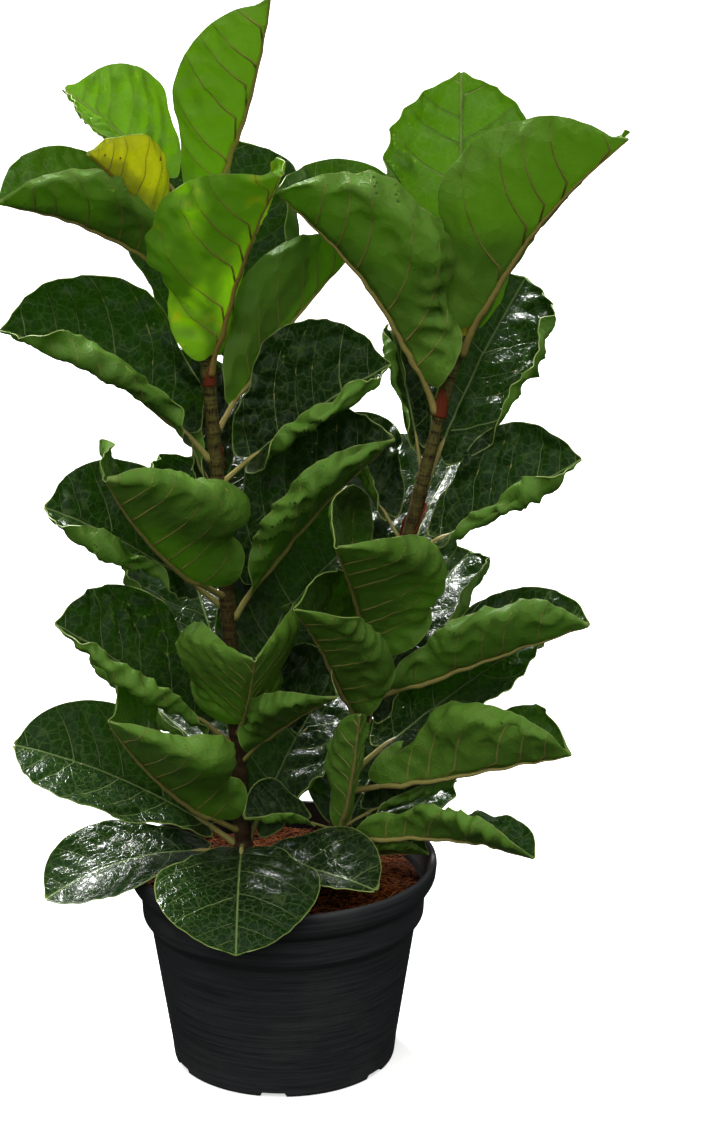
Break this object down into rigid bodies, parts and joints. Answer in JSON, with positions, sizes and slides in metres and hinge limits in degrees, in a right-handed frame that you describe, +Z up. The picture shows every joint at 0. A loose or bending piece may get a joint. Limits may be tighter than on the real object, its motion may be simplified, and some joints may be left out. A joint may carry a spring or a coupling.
{
  "type": "potted fiddle leaf fig",
  "caption": "Potted fiddle leaf fig: upright stems with large glossy leaves, rising from potting mix in a round black nursery pot with a rolled lip.",
  "frame": {"origin": "centre of the pot's flat base, on the surface that the pot stands on", "axes": "+Z up along the plant, -Y the front, +X to the right seen from the front"},
  "size_m": [0.5099, 0.3386, 0.929],
  "materials": {
    "black_plastic": "satin, fine turned lines",
    "coir_potting_mix": "rough, fibrous, damp",
    "brown_bark": "matte, ringed by leaf scars",
    "bud_sheath": "smooth, satin",
    "mature_leaf": "glossy upper face, satin underside",
    "young_leaf": "glossy upper face, satin underside"
  },
  "bodies": {
    "root": {"bud_left": "bud_sheath", "bud_right": "bud_sheath", "leaf_left_01": "young_leaf", "leaf_left_02": "young_leaf", "leaf_left_03": "mature_leaf", "leaf_left_04": "young_leaf", "leaf_left_05": "mature_leaf", "leaf_left_06": "young_leaf", "leaf_left_07": "mature_leaf", "leaf_left_08": "mature_leaf", "leaf_left_09": "mature_leaf", "leaf_left_10": "mature_leaf", "leaf_left_11": "mature_leaf", "leaf_left_12": "mature_leaf", "leaf_left_13": "mature_leaf", "leaf_left_14": "mature_leaf", "leaf_left_15": "mature_leaf", "leaf_left_16": "mature_leaf", "leaf_left_17": "mature_leaf", "leaf_left_18": "mature_leaf", "leaf_left_19": "mature_leaf", "leaf_left_20": "mature_leaf", "leaf_left_21": "mature_leaf", "leaf_left_22": "mature_leaf", "leaf_left_23": "mature_leaf", "leaf_left_24": "mature_leaf", "leaf_left_25": "mature_leaf", "leaf_left_26": "mature_leaf", "leaf_left_27": "mature_leaf", "leaf_right_01": "young_leaf", "leaf_right_02": "young_leaf", "leaf_right_03": "mature_leaf", "leaf_right_04": "mature_leaf", "leaf_right_05": "mature_leaf", "leaf_right_06": "mature_leaf", "leaf_right_07": "mature_leaf", "leaf_right_08": "mature_leaf", "leaf_right_09": "mature_leaf", "leaf_right_10": "mature_leaf", "leaf_right_11": "mature_leaf", "leaf_right_12": "mature_leaf", "leaf_right_13": "mature_leaf", "leaf_right_14": "mature_leaf", "leaf_right_15": "mature_leaf", "leaf_right_16": "mature_leaf", "leaf_right_17": "mature_leaf", "leaf_right_18": "mature_leaf", "leaf_right_19": "mature_leaf", "leaf_right_20": "mature_leaf", "pot": "black_plastic", "potting_mix": "coir_potting_mix", "stem_left": "brown_bark", "stem_right": "brown_bark"}
  },
  "joints": []
}
